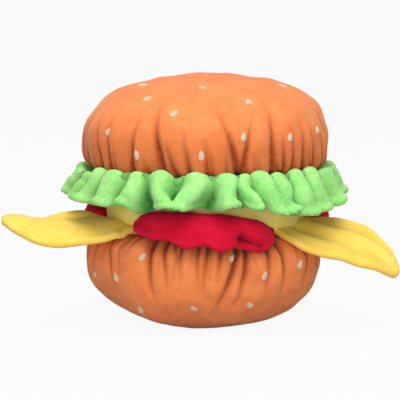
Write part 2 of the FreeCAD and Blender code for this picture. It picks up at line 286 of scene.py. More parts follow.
def velour(name, lit, plain, deep, sheen, sheen_tint):
    """Short-pile velour: brushed patches, a soft mottle, a fine pile, and painted shade in the deep colour
    where shade falls.
    """
    finish = Finish(name)
    crease = finish.value("ShaderNodeAttribute", "Fac", {"attribute_name": "crease"})
    nap = finish.noise(NAP_SIZE, 2.0, 0.8)
    mottle = finish.noise(MOTTLE_SIZE, 3.0)
    fibre = finish.noise(PILE_SIZE, 2.0)
    tone = 0.5 + (nap - 0.5) * 1.1 + (mottle - 0.5) * 0.9 + (fibre - 0.5) * 1.1
    ground = finish.mixed(tone.clamped(), plain, lit)
    # Painted shade: the deep colour is mixed in where the piece's attribute marks shade, in creases, under
    # parts and near seams.
    colour = finish.mixed((crease * (0.9 + (mottle - 0.5) * 0.6)).clamped(), ground, deep)
    height = fibre * 0.75 + mottle * 0.6
    bump = finish.value("ShaderNodeBump", 0, None, {
        "Strength": 0.55, "Distance": 0.45 * MILLIMETRE, "Height": height,
    })
    return finish.surface({
        "Base Color": colour,
        "Roughness": 0.92,
        "Specular IOR Level": 0.12,
        "Sheen Weight": sheen,
        "Sheen Roughness": 0.45,
        "Sheen Tint": sheen_tint,
        "Normal": bump,
    })


def woven(name, light, dark, size):
    """Plain weave, thread or fibre that is seen only where a seam opens."""
    finish = Finish(name)
    place = finish.value("ShaderNodeTexCoord", "Object")
    across, upwards = [
        finish.value("ShaderNodeTexWave", 1, {"bands_direction": way}, {
            "Vector": place, "Scale": 1 / (size * MILLIMETRE), "Distortion": 0.4,
        })
        for way in ("X", "DIAGONAL")
    ]
    thread = across * upwards
    colour = finish.mixed((thread + (finish.noise(size * 6) - 0.5) * 0.6).clamped(), dark, light)
    bump = finish.value("ShaderNodeBump", 0, None, {
        "Strength": 0.5, "Distance": 0.2 * MILLIMETRE, "Height": thread,
    })
    return finish.surface({
        "Base Color": colour, "Roughness": 0.85, "Specular IOR Level": 0.2, "Normal": bump,
    })


def plastic(name, light, dark, roughness):
    """Thin moulded plastic with faint flow marks."""
    finish = Finish(name)
    flow = finish.noise(5.0, 2.0, 1.5)
    grain = finish.noise(0.4)
    bump = finish.value("ShaderNodeBump", 0, None, {
        "Strength": 0.15, "Distance": 0.1 * MILLIMETRE, "Height": grain,
    })
    return finish.surface({
        "Base Color": finish.mixed(flow, dark, light),
        "Roughness": (roughness + (flow - 0.5) * 0.2).clamped(),
        "Normal": bump,
    })


# The third colour of each velour is its painted shade colour.
bun_velour = velour(
    "bun velour", linear(248, 152, 92), linear(232, 118, 62), linear(142, 56, 20),
    sheen=0.4, sheen_tint=linear(255, 210, 175),
)
lettuce_velour = velour(
    "lettuce velour", linear(186, 238, 152), linear(118, 212, 96), linear(26, 104, 24),
    sheen=0.4, sheen_tint=linear(235, 255, 220),
)
cheese_velour = velour(
    "cheese velour", linear(252, 216, 112), linear(246, 198, 68), linear(196, 142, 40),
    sheen=0.15, sheen_tint=linear(255, 245, 200),
)
tomato_velour = velour(
    "tomato velour", linear(222, 22, 58), linear(196, 8, 42), linear(96, 0, 14),
    sheen=0.1, sheen_tint=linear(255, 150, 160),
)
band_velour = velour(
    "band velour", linear(255, 240, 150), linear(255, 230, 108), linear(230, 194, 76),
    sheen=0.12, sheen_tint=linear(255, 250, 210),
)
seed_thread = woven("seed thread", linear(255, 244, 222), linear(226, 202, 170), 0.25)
gather_thread = woven("gather thread", linear(196, 120, 70), linear(140, 76, 36), 0.25)
squeaker_plastic = plastic("squeaker plastic", linear(240, 240, 236), linear(222, 222, 216), 0.45)
reed_plastic = plastic("reed plastic", linear(214, 44, 36), linear(182, 28, 26), 0.35)


# Buns

BUN_COLUMNS = 576
BUN_ROWS = 104


def bun_profile(bun, rim_z, crown_sign):
    """(radius, height) points from a bun's gathered rim, over its side, to its middle.

    Each half of its side is a superellipse: the crown and, towards the rim, the tuck.
    """
    rim_share = 1 - (RIM_RADIUS / bun["radius"]) ** bun["tuck_power"]
    tuck = abs(rim_z - bun["widest_z"]) / rim_share ** (1 / bun["tuck_power"])
    rim_angle = -math.acos((RIM_RADIUS / bun["radius"]) ** (bun["tuck_power"] / 2))
    angle = np.linspace(rim_angle, math.pi / 2, 900)
    power = np.where(angle > 0, bun["crown_power"], bun["tuck_power"])
    height = np.where(angle > 0, bun["crown"], tuck) * np.sign(angle)
    radius = bun["radius"] * np.maximum(np.cos(angle), 0) ** (2 / power)
    z = bun["widest_z"] + crown_sign * height * np.abs(np.sin(angle)) ** (2 / power)
    line = np.stack([radius, z], 1)
    if crown_sign < 0:
        line[:, 1] = np.maximum(line[:, 1], 0.0)
    return evenly(line, BUN_ROWS)[:-1]


def short_gathers(count, draw):
    """Short creases all round the rim, where the gathering thread bunches the cloth."""
    spacing = 360 / count
    gathers = []
    for number in range(count):
        place = (number + draw.uniform(-0.3, 0.3)) * spacing
        gathers.append((
            place, place + draw.uniform(-5, 5), draw.uniform(17, 36), draw.uniform(1.2, 3.6),
            draw.uniform(0.8, 2.4), draw.uniform(0.8, 2.4),
        ))
    return gathers


def crease_depths(creases, azimuth, walked, arc):
    """How deep the creases are at each point, and how sharply they pinch there.

    A crease is a broad shoulder, wider on one side, with a narrow nick along its middle.
    """
    meeting_power = 2.4
    depth = np.zeros(np.broadcast(walked, azimuth).shape)
    pinch = np.zeros_like(depth)
    for foot, head, reach, deep, left, right in creases:
        along = np.clip(walked / reach, 0, 1)
        path = foot + (head - foot) * along + 0.6 * np.sin(walked / 9 + foot)
        beside = ((azimuth - path + 180) % 360 - 180) * arc
        share = beside / np.where(beside < 0, left, right)
        fade = deep * (1 - along ** 1.3)
        shoulder = 0.42 * fade * np.exp(0.3 - np.sqrt(share ** 2 + 0.09))
        nick = 0.58 * fade * np.exp(-np.abs(beside / (0.9 + 0.12 * deep)) ** 1.5)
        depth += (shoulder + nick) ** meeting_power
        pinch = np.maximum(pinch, nick / 2.6)
    return depth ** (1 / meeting_power), pinch


class BunSurface:
    """A stuffed bun's cover: its profile turned round the axis, creased from the rim."""

    def __init__(self, profile, creases, gathers, hollows, crown_sign, seed):
        radius, height = profile[:, 0], profile[:, 1]
        steps = np.linalg.norm(np.diff(profile, axis=0), axis=1)
        walked = np.concatenate([[0], np.cumsum(steps)])[:, None]
        azimuth = (np.arange(BUN_COLUMNS) * 360 / BUN_COLUMNS)[None, :]
        slope = np.gradient(profile, axis=0)
        slope /= np.linalg.norm(slope, axis=1, keepdims=True)
        outward = np.stack([slope[:, 1], -slope[:, 0]], 1) * crown_sign
        arc = np.radians(1) * radius[:, None]
        creases = creases + short_gathers(gathers, np.random.default_rng(seed))
        depth, pinch = crease_depths(creases, azimuth, walked, arc)

        base = polar(radius[:, None], azimuth, height[:, None])
        out_r = np.broadcast_to(outward[:, :1], depth.shape)
        out_z = np.broadcast_to(outward[:, 1:], depth.shape)
        puff = -0.3 * np.exp(-((walked - 30) / 22) ** 2)
        for middle, level, breadth, tall, deep in hollows:
            aside = ((azimuth - middle + 180) % 360 - 180) * arc
            puff = puff - deep * np.exp(-(aside / breadth) ** 2 - ((height[:, None] - level) / tall) ** 2)
        # The stuffing is smooth at the middle, and flat where the toy's weight settles it
        settled = eased((walked[-1] - walked) / 40) if crown_sign < 0 else 1.0
        calm = 0.3 + 0.7 * eased((walked[-1] - walked) / 45)
        lumps = 0.9 * calm * wander(base, 46, seed + 1) + 0.28 * wander(base, 15, seed + 2)
        move = puff + lumps * settled - depth
        turn = np.radians(azimuth)
        push = np.stack([out_r * np.sin(turn), -out_r * np.cos(turn), out_z], -1)
        points = base + push * move[..., None]
        if crown_sign < 0:
            points[..., 2] = np.maximum(points[..., 2], 0.0)
        self.points = points
        # Painted shade: the top bun is darkened towards its rim, where less light reaches it, and both buns
        # in their creases; the bottom bun only faintly towards its rim.
        painted_rim_shade = (0.54 if crown_sign > 0 else 0.04) * eased(1.1 - walked / 44)
        self.crease = np.clip(painted_rim_shade + 0.75 * pinch + 0.14 * depth * eased(1.4 - walked / 55), 0, 1)
        self.height = height
        self.crown_sign = crown_sign

    def piece(self, name, finish, rim_z):
        """The closed cover: its rim closed over the cushion, its middle at a pole."""
        pole_z = self.points[-1, :, 2].mean()
        ends = np.array([[0, 0, rim_z], [0, 0, pole_z]])
        points = np.concatenate([self.points.reshape(-1, 3), ends])
        crease = np.concatenate([self.crease.ravel(), [0, 0]])
        return make_piece(name, points, capped(*self.points.shape[:2]), finish, crease=crease)

    def spot(self, azimuth, z):
        """The point, outward direction and upward direction where the cover is at this height."""
        row = int(np.argmin(np.abs(self.height - z)))
        column = int(round(azimuth % 360 / 360 * BUN_COLUMNS)) % BUN_COLUMNS
        above, below = self.points[row + 3, column], self.points[row - 3, column]
        before = self.points[row, (column - 3) % BUN_COLUMNS]
        after = self.points[row, (column + 3) % BUN_COLUMNS]
        up = (above - below) * self.crown_sign
        out = np.cross(after - before, up)
        return self.points[row, column], out / np.linalg.norm(out), up / np.linalg.norm(up)


# Each crease: azimuth at the rim, azimuth at its far end, reach, depth, width to the left and right
TOP_CREASES = [
    (-86, -84, 46, 4.2, 2.0, 4.5), (-74, -76, 52, 4.4, 4.6, 1.8), (-56, -63, 52, 4.2, 4.0, 1.8),
    (-49, -53, 50, 4.4, 1.8, 4.8), (-36.5, -35.5, 54, 5.0, 5.0, 1.8), (-19, -27, 66, 6.2, 6.4, 1.9),
    (-9, -21, 36, 4.6, 2.0, 4.2), (-6, -11, 44, 3.8, 3.0, 2.0), (3.5, -1.5, 40, 3.8, 2.4, 2.8),
    (17.5, 6.5, 60, 6.0, 2.2, 4.8), (14, 25, 54, 5.2, 4.6, 2.2), (32, 36, 62, 6.0, 2.2, 5.4),
    (38, 40.5, 40, 4.6, 2.4, 2.6), (43, 46, 44, 4.4, 2.0, 3.6), (52.5, 53.5, 48, 4.6, 4.0, 1.8),
    (57, 63, 50, 4.2, 1.9, 4.2), (68, 71, 44, 3.8, 3.6, 2.0), (79, 76, 50, 4.2, 2.0, 4.6),
]
BOTTOM_CREASES = [
    (-82, -80, 40, 3.4, 3.0, 2.0), (-68, -70, 36, 3.2, 2.0, 3.6), (-57, -53, 42, 4.0, 4.2, 1.8),
    (-46, -48, 30, 3.0, 2.2, 3.0), (-30, -26, 44, 5.0, 2.0, 4.6), (-21, -20, 36, 4.2, 2.6, 3.2),
    (-12, -17, 30, 3.0, 3.0, 2.0), (-4, -3, 34, 3.6, 2.0, 3.2), (1, -1, 40, 3.8, 2.2, 3.6),
    (9, 6, 32, 3.6, 2.4, 2.4), (18, 5, 56, 6.2, 2.0, 4.0), (23, 15, 52, 5.4, 2.4, 3.4),
    (32, 33, 40, 4.6, 4.4, 1.8), (41, 42.5, 46, 4.6, 1.9, 4.6), (56, 60, 44, 4.4, 4.6, 1.9),
    (69, 71, 40, 3.6, 2.0, 4.0), (82, 81, 38, 3.4, 3.6, 2.0),
]


def unseen_creases(count, seed):
    """Creases for the back half, drawn like those of the front."""
    draw = np.random.default_rng(seed)
    creases = []
    for number in range(count):
        foot = 92 + (number + draw.uniform(-0.25, 0.25)) * 176 / count
        steep, gentle = draw.uniform(1.7, 2.2), draw.uniform(3.0, 5.4)
        sides = (steep, gentle) if draw.random() < 0.5 else (gentle, steep)
        head = foot + draw.uniform(-8, 8)
        reach, depth = draw.uniform(36, 60), draw.uniform(3.4, 6.0)
        creases.append((foot, head, reach, depth, *sides))
    return creases


# Each hollow: azimuth, height, half breadth, half height, depth
TOP_HOLLOWS = [(-90, 125, 48, 12, 3.2), (90, 117, 40, 9, 1.6)]
BOTTOM_HOLLOWS = [(-90, 14, 70, 11, 2.2), (90, 20, 70, 15, 3.6)]

# Each seed in front: azimuth, height
TOP_SEEDS = [
    (-78, 135.8), (-40, 131.8), (-3, 136.6), (-16, 124.8), (-52.5, 113.4), (-33, 101.8),
    (-2, 103.4), (27, 130.8), (82, 134.1), (18, 112.6), (44, 110.4), (67, 111.7),
]
BOTTOM_SEEDS = [
    (-32, 44.2), (-50, 30.9), (-70, 30.1), (-38, 13.4), (-7, 14.5),
    (13, 45.4), (30, 33.6), (51, 38.2), (25, 15.7),
]
# The seeds behind repeat those in front, closer together and no higher than this
BACK_SEED_SPREAD = 0.62
BACK_SEED_TOP = 124.0


def seed_tree(finish):
    """Geometry Nodes: one raised satin-stitch drop on every point, made of parallel threads."""
    tree = bpy.data.node_groups.new("satin seeds", "GeometryNodeTree")
    face = tree.interface
    face.new_socket("Points", in_out="INPUT", socket_type="NodeSocketGeometry")
    sizes = {}
    for label in ("Length", "Width", "Height", "Thread radius"):
        sizes[label] = face.new_socket(label, in_out="INPUT", socket_type="NodeSocketFloat").identifier
    sizes["Threads"] = face.new_socket("Threads", in_out="INPUT", socket_type="NodeSocketInt").identifier
    face.new_socket("Seeds", in_out="OUTPUT", socket_type="NodeSocketGeometry")

    def add(kind, settings=None, sockets=None):
        return add_node(tree, kind, settings, sockets)

    def maths(operation, *numbers):
        return add("ShaderNodeMath", {"operation": operation}, dict(enumerate(numbers))).outputs[0]

    given = add("NodeGroupInput").outputs
    half_length = maths("MULTIPLY", given["Length"], 0.5)
    covered_share = 0.96
    start = add("ShaderNodeCombineXYZ", None, {"X": maths("MULTIPLY", half_length, -covered_share)})
    gaps = maths("SUBTRACT", given["Threads"], 1.0)
    gap = maths("DIVIDE", maths("MULTIPLY", given["Length"], covered_share), gaps)
    step = add("ShaderNodeCombineXYZ", None, {"X": gap})
    line = add("GeometryNodeMeshLine", {"mode": "OFFSET"}, {
        "Count": given["Threads"], "Start Location": start.outputs[0], "Offset": step.outputs[0],
    })
    # One thread: half a turn over the drop, of radius 1, lying across its length
    arch = add("GeometryNodeCurveArc", {"mode": "RADIUS"}, {
        "Resolution": 8, "Radius": 1.0, "Start Angle": 0.0, "Sweep Angle": math.pi,
    })
    stand = add("GeometryNodeTransform", None, {
        "Geometry": arch.outputs[0], "Rotation": (math.pi / 2, 0.0, math.pi / 2),
    })
    # The drop is blunt at one end and pointed at the other
    place = add("GeometryNodeInputPosition")
    along = add("ShaderNodeSeparateXYZ", None, {0: place.outputs[0]}).outputs["X"]
    share = maths("DIVIDE", along, half_length)
    fullness = maths("SUBTRACT", 1.0, maths("POWER", maths("ABSOLUTE", share), 2.2))
    round_share = maths("SQRT", maths("MAXIMUM", fullness, 0.02))
    taper = maths("ADD", 0.86, maths("MULTIPLY", share, -0.26))
    outline = maths("MULTIPLY", round_share, taper)
    across = maths("MULTIPLY", maths("MULTIPLY", outline, given["Width"]), 0.5)
    rise = maths("MULTIPLY", maths("POWER", outline, 0.7), given["Height"])
    stretch = add("ShaderNodeCombineXYZ", None, {"X": 1.0, "Y": across, "Z": rise})
    rows = add("GeometryNodeInstanceOnPoints", None, {
        "Points": line.outputs[0], "Instance": stand.outputs[0], "Scale": stretch.outputs[0],
    })
    threads = add("GeometryNodeRealizeInstances", None, {0: rows.outputs[0]})
    wire = add("GeometryNodeCurvePrimitiveCircle", {"mode": "RADIUS"}, {
        "Resolution": 5, "Radius": given["Thread radius"],
    })
    drop = add("GeometryNodeCurveToMesh", None, {
        "Curve": threads.outputs[0], "Profile Curve": wire.outputs[0], "Fill Caps": True,
    })
    out = add("GeometryNodeInputNamedAttribute", {"data_type": "FLOAT_VECTOR"}, {"Name": "out"})
    lie = add("GeometryNodeInputNamedAttribute", {"data_type": "FLOAT_VECTOR"}, {"Name": "lie"})
    stood = add("FunctionNodeAlignRotationToVector", {"axis": "Z"}, {"Vector": out.outputs[0]})
    turned = add("FunctionNodeAlignRotationToVector", {"axis": "X", "pivot_axis": "Z"}, {
        "Rotation": stood.outputs[0], "Vector": lie.outputs[0],
    })
    seeds = add("GeometryNodeInstanceOnPoints", None, {
        "Points": given["Points"], "Instance": drop.outputs[0], "Rotation": turned.outputs[0],
    })
    real = add("GeometryNodeRealizeInstances", None, {0: seeds.outputs[0]})
    dressed = add("GeometryNodeSetMaterial", None, {"Geometry": real.outputs[0], "Material": finish})
    result = add("NodeGroupOutput")
    tree.links.new(dressed.outputs[0], result.inputs[0])
    return tree, sizes


def embroider(name, surface, places, tree, sizes, seed):
    """Seeds on a bun's cover, in front and again, half a turn on and closer together, behind."""
    draw = np.random.default_rng(seed)
    spots, outs, lies = [], [], []
    for half_turn in (0, 180):
        for azimuth, z in places:
            if half_turn:
                azimuth, z = azimuth * BACK_SEED_SPREAD + half_turn, min(z, BACK_SEED_TOP)
            point, out, up = surface.spot(azimuth, z)
            side = np.cross(up, out)
            turn = draw.uniform(-0.9, 0.9)
            spots.append((point - out * 0.15) * MILLIMETRE)
            outs.append(out)
            lies.append(up * math.cos(turn) + side * math.sin(turn))
    mesh = bpy.data.meshes.new(name + " points")
    mesh.from_pydata([tuple(spot) for spot in spots], [], [])
    for label, values in (("out", outs), ("lie", lies)):
        attribute = mesh.attributes.new(label, "FLOAT_VECTOR", "POINT")
        attribute.data.foreach_set("vector", np.array(values, np.float32).ravel())
    maker = placed(name + " points", mesh)
    nodes = maker.modifiers.new("seeds", "NODES")
    nodes.node_group = tree
    for label, value in (
        ("Length", SEED_LENGTH * MILLIMETRE), ("Width", SEED_WIDTH * MILLIMETRE),
        ("Height", SEED_HEIGHT * MILLIMETRE), ("Thread radius", 0.2 * MILLIMETRE), ("Threads", 15),
    ):
        nodes[sizes[label]] = value
    view = bpy.context.evaluated_depsgraph_get()
    made = bpy.data.meshes.new_from_object(maker.evaluated_get(view))
    made.name = name
    made.shade_smooth()
    piece = placed(name, made)
    bpy.data.objects.remove(maker)
    return piece


rest_share = 1 - (RESTING_RADIUS / BOTTOM_BUN["radius"]) ** BOTTOM_BUN["crown_power"]
BOTTOM_BUN["crown"] = BOTTOM_BUN["widest_z"] / rest_share ** (1 / BOTTOM_BUN["crown_power"])

top_surface = BunSurface(
    bun_profile(TOP_BUN, UPPER_SEAM_Z, 1), TOP_CREASES + unseen_creases(17, 11),
    gathers=74, hollows=TOP_HOLLOWS, crown_sign=1, seed=21,
)
top_bun = top_surface.piece("top_bun", bun_velour, UPPER_SEAM_Z + 0.6)
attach(top_bun, "stack")
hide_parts("top_bun_cover", "top_bun_base", "top_bun_fill")

bottom_surface = BunSurface(
    bun_profile(BOTTOM_BUN, LOWER_SEAM_Z, -1), BOTTOM_CREASES + unseen_creases(15, 12),
    gathers=66, hollows=BOTTOM_HOLLOWS, crown_sign=-1, seed=31,
)
bottom_bun = bottom_surface.piece("bottom_bun", bun_velour, LOWER_SEAM_Z - 0.6)
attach(bottom_bun, "stack")
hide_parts("bottom_bun_cover", "bottom_bun_lid", "bottom_bun_fill")

satin_tree, satin_sizes = seed_tree(seed_thread)
for label, surface, places, seed, node in (
    ("top_seeds", top_surface, TOP_SEEDS, 41, "top_bun_seeds"),
    ("bottom_seeds", bottom_surface, BOTTOM_SEEDS, 42, "bottom_bun_seeds"),
):
    seeds = embroider(label, surface, places, satin_tree, satin_sizes, seed)
    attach(seeds, "stack")
    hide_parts(node)


# Middle cushion

def middle_cushion():
    """The drum between the buns, its side puckered at both seams."""
    rows, columns = 40, 360
    level = np.linspace(0, 1, rows)[:, None]
    azimuth = (np.arange(columns) * 360 / columns)[None, :]
    height = LOWER_SEAM_Z + 0.2 + level * (UPPER_SEAM_Z - LOWER_SEAM_Z - 0.4)
    bulge = 1.6 * np.sin(math.pi * level) ** 0.6
    edge = np.abs(2 * level - 1) ** 3
    base = polar(BAND_RADIUS, azimuth, height)
    pucker = edge * 0.5 * np.sin(np.radians(azimuth) * 44 + 2 * wander(base, 60, 51))
    radius = BAND_RADIUS - 0.5 + bulge + pucker + 0.35 * wander(base, 22, 52)
    points = polar(radius, azimuth, height).reshape(-1, 3)
    ends = np.array([[0, 0, LOWER_SEAM_Z + 0.2], [0, 0, UPPER_SEAM_Z - 0.2]])
    # Painted shade: the band is darkened towards both seams and in the hollows of its puckers.
    crease = np.concatenate([np.clip(edge * 0.5 - pucker * 0.4, 0, 1).ravel(), [0, 0]])
    points = np.concatenate([points, ends])
    return make_piece("middle_cushion", points, capped(rows, columns), band_velour, crease=crease)


cushion = middle_cushion()
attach(cushion, "stack")
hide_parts("core_band", "core_bottom_panel", "core_top_panel", "core_fill")


# Lettuce frill

FRILL_ROWS = 46
FRILL_LEVELS = np.linspace(0, 1, FRILL_ROWS) ** 0.9
FRILL_COLUMNS_PER_FOLD = 30
FRILL_HALF_THICKNESS = 1.7
FOLD_STEPS = 240

# The line along the folds' outer edges, from the seam over the knee to the hem
FRILL_LINE = [
    (56.6, 84.2), (61.6, 84.6), (65.6, 86.2), (68.8, 88.8), (70.9, 91.2), (73.0, 91.2),
    (75.6, 88.0), (78.2, 83.0), (80.4, 76.6), (81.2, 69.5),
]
# Each fold in front: azimuth where it starts, its lean at the knee, height, hem length, hem curl,
# how far its ridge sways to the side, and how broad its ridge is at the hem
FRONT_FOLDS = [
    (-97, 24, 1.0, 0.96, 0.0, -3, 0.4), (-79, 22, 0.95, 0.93, 0.0, -4, 0.4),
    (-64, 16, 0.95, 0.93, 0.3, -5, 0.3), (-53, 11, 0.9, 0.92, 0.0, -5, 0.2),
    (-38, 2, 0.9, 0.94, 0.6, -4, -0.3), (-26.5, 1, 1.2, 0.9, 2.2, 6, -0.3),
    (-14.5, 8, 1.15, 0.9, 1.2, -6, 0.0), (2.5, 6, 0.95, 0.88, -0.6, 3, 0.4),
    (15, -1, 0.75, 0.92, 0.8, 6, -0.4), (20.5, -4, 1.15, 0.93, 1.2, 7, -0.4),
    (30, -2, 0.85, 0.99, 0.2, 5, 0.1), (38.5, 1, 0.95, 1.05, 0.0, 5, 0.2),
    (47.5, 3, 1.0, 1.03, 0.4, 4, 0.3), (57, 4, 1.1, 0.98, 0.5, 3, 0.4),
    (78, 4, 1.0, 0.92, 0.2, 3, 0.3),
]
FRONT_END = 93.0


def fold_table():
    """All the folds round the frill, the unseen ones drawn like those in front."""
    draw = np.random.default_rng(61)
    folds = [list(fold) for fold in FRONT_FOLDS]
    unseen = FRILL_FOLDS - len(folds)
    span = folds[0][0] + 360 - FRONT_END
    for number in range(unseen):
        start = FRONT_END + (number + (draw.uniform(-0.22, 0.22) if number else 0)) * span / unseen
        folds.append([
            start, draw.uniform(-7, 9), draw.uniform(0.75, 1.1), draw.uniform(0.86, 1.02),
            draw.uniform(-0.6, 0.9), draw.uniform(-7, 7), draw.uniform(-0.4, 0.4),
        ])
    return folds


def broad_ridge(phase, breadth=0.3):
    """The phase along a fold, slowed at its ridge and hurried through its valley."""
    return phase + breadth * np.sin(2 * math.pi * phase) / (2 * math.pi)


def meander_table():
    """How high a fold stands for its width, by the swing of its wall from the seam's direction."""
    phase = broad_ridge((np.arange(400) + 0.5) / 400)
    swings = np.linspace(0.02, 2.05, 120)
    ratios = []
    for swing in swings:
        lean = swing * np.sin(2 * math.pi * phase)
        advance = np.cos(lean).mean()
        ratios.append(np.sin(lean[:200]).mean() / 2 / advance)
    return swings, np.array(ratios)


class FrillLine:
    """The frill seen from the side: a line from the seam to the hem, read by the distance walked."""

    def __init__(self):
        self.line = spline(FRILL_LINE, np.linspace(0, len(FRILL_LINE) - 1, 400))
        self.walked = np.concatenate([[0], np.cumsum(np.linalg.norm(np.diff(self.line, axis=0), axis=1))])
        self.full = self.walked[-1]
        self.knee = self.walked[int(np.argmax(self.line[:, 1]))]
        slope = np.gradient(self.line, axis=0)
        slope /= np.linalg.norm(slope, axis=1, keepdims=True)
        self.outward = np.stack([-slope[:, 1], slope[:, 0]], 1)

    def place(self, distance):
        """The radius and the height at each distance."""
        return [np.interp(distance, self.walked, self.line[:, axis]) for axis in (0, 1)]

    def direction(self, distance):
        """The outward direction's parts along the radius and the height."""
        out_r, out_z = [np.interp(distance, self.walked, self.outward[:, axis]) for axis in (0, 1)]
        scale = np.hypot(out_r, out_z)
        return out_r / scale, out_z / scale


def frill_fold(view, fold, before, after, end, meander):
    """The points of one fold and its share of valley, from where it starts to where it ends."""
    start, lean, height, length, curl, side, breadth = fold
    swings, ratios = meander
    full, knee = view.full, view.knee
    phase = np.arange(FRILL_COLUMNS_PER_FOLD) / FRILL_COLUMNS_PER_FOLD
    swell = np.sin(math.pi * phase)
    level = FRILL_LEVELS[:, None]

    # The hem's length runs smoothly into the folds on either side
    mean_before = (before[3] + length) / 2
    mean_after = (length + after[3]) / 2
    hem = (1 - phase) * mean_before + phase * mean_after
    hem = hem + (length - (mean_before + mean_after) / 2) * swell ** 2
    distance = np.minimum(level * full * hem[None, :], full - 0.01)
    over = level * full * hem[None, :] - distance
    radius, z = view.place(distance)
    z = z - over
    out_r, out_z = view.direction(distance)
    share = distance / full
    beyond = np.clip((distance - knee) / (full - knee), 0, 1)

    # The fold's ends lean sideways between the seam and the hem
    first = start + lean * (1 - share) * 0.5 * eased(distance / 8)
    last = end + after[1] * (1 - share) * 0.5 * eased(distance / 8)
    pitch = np.radians(last - first) * radius

    # The cloth swings out, back over the ridge and in again, as high as it stands
    above_knee = np.clip(1 - distance / knee, 0, 1)
    stand = (1.2 + 1.2 * (1 - above_knee) + 9.2 * eased(beyond) ** 0.8) * height
    stand = np.minimum(stand, pitch * 0.98)
    swing = np.interp(stand / pitch, ratios, swings)
    ridge_breadth = (0.4 + (breadth - 0.4) * beyond)[..., None]
    fine = broad_ridge((np.arange(FOLD_STEPS) + 0.5) / FOLD_STEPS, ridge_breadth)
    lean_angle = swing[..., None] * np.sin(2 * math.pi * fine)
    run = np.cumsum(np.cos(lean_angle), -1)
    climb = np.cumsum(np.sin(lean_angle), -1)
    whole = run[..., -1:]
    at = (phase * FOLD_STEPS).astype(int)[None, :, None]
    at = np.broadcast_to(np.maximum(at - 1, 0), swing.shape + (1,))
    forward = np.take_along_axis(run, at, -1)[..., 0] / whole[..., 0] * (phase > 0)
    up = np.take_along_axis(climb, at, -1)[..., 0] / whole[..., 0] * pitch * (phase > 0)

    # The hem curls, the frill droops at the toy's sides, and high folds have a knob at the knee
    short = (1 - height) * 0.5 * stand
    bow = (curl + 0.4) * 3.2 * np.clip((share - 0.72) / 0.28, 0, 1) ** 2 * swell
    from_front = abs(((start + end) / 2 + 180) % 360 - 180)
    droop = eased((from_front - 50) / 26) * eased((168 - from_front) / 40)
    radius = radius - 3.0 * droop * eased((distance - knee + 4) / 12)
    z = z - 4.8 * droop * np.exp(-((distance - knee - 1) / 9) ** 2)
    knob = 5 * (height - 0.95) * swell * np.exp(-((distance - knee) / 6) ** 2)
    lift = up - stand + bow - short * swell + knob
    # How deep each point lies in its valley, used as the frill's painted shade
    valley = np.clip(1 - up / stand, 0, 1) ** 1.6 * np.clip(stand / 7, 0.25, 1)
    azimuth = first + (last - first) * forward + side * up / 10 * beyond
    return polar(radius + out_r * lift, azimuth, z + out_z * lift), valley


def lettuce():
    """A doubled strip in a meander of folds: it rises beside the bun, bends over and hangs."""
    view = FrillLine()
    folds = fold_table()
    meander = meander_table()
    columns, valleys = [], []
    for number, fold in enumerate(folds):
        after = folds[(number + 1) % len(folds)]
        end = after[0] + (360 if number + 1 == len(folds) else 0)
        points, valley = frill_fold(view, fold, folds[number - 1], after, end, meander)
        columns.append(points)
        valleys.append(valley)
    middle = np.concatenate(columns, 1)
    loose = eased(FRILL_LEVELS * 1.8 - 0.35)[:, None]
    sway = np.stack([wander(middle, 21, seed) for seed in (64, 65, 66)], -1)
    around = np.degrees(np.arctan2(middle[-1, :, 0], -middle[-1, :, 1]))
    straight = eased((np.abs(around) - 32) / 20) * eased((122 - np.abs(around)) / 12)
    middle = middle + (1.6 * loose * (1 - 0.62 * straight))[..., None] * sway
    middle = middle + 0.35 * grid_normals(middle, True) * wander(middle, 13, 63)[..., None]

    normals = -grid_normals(middle, True)
    steps = np.linalg.norm(np.diff(middle, axis=0), axis=-1)
    to_hem = np.concatenate([np.cumsum(steps[::-1], 0)[::-1], np.zeros((1, middle.shape[1]))], 0)
    edge = np.clip(to_hem / FRILL_HALF_THICKNESS, 0, 1)
    roll = 1 + 0.3 * np.exp(-((to_hem - 2.4) / 1.5) ** 2) - 0.2 * np.exp(-((to_hem - 6.0) / 1.4) ** 2)
    half = FRILL_HALF_THICKNESS * roll * np.sqrt(np.maximum(1 - (1 - edge) ** 2, 0))
    outer = middle + normals * half[..., None]
    inner = middle - normals * half[..., None]
    points = np.concatenate([outer, inner[::-1]], 0)

    # Painted shade: the top side is darkened in its valleys, the underside everywhere but under them, as a
    # valley seen from above is a ridge from below.
    crease = np.concatenate(valleys, 1)
    hollow = 0.9 * (1 - crease)
    rows, count = points.shape[:2]
    faces = quads(rows, count, True).tolist()
    last = (rows - 1) * count
    for column in range(count):
        following = (column + 1) % count
        faces.append([last + column, last + following, following, column])
    shares = np.concatenate([crease, hollow[::-1]], 0)
    return make_piece("lettuce", points, faces, lettuce_velour, crease=shares)


frill = lettuce()
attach(frill, "stack")
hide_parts("lettuce_frill")


# Flaps

def lengths(points, axis):
    """The distance walked along one way of a grid of points."""
    steps = np.linalg.norm(np.diff(points, axis=axis), axis=-1)
    start = np.zeros_like(np.take(steps, [0], axis))
    return np.concatenate([start, np.cumsum(steps, axis)], axis)


# The line of stitches inside a flap's hem: its distance from the edge and how firmly it is drawn in
STITCH_INSET = 5.2
STITCH_PULL = 0.3


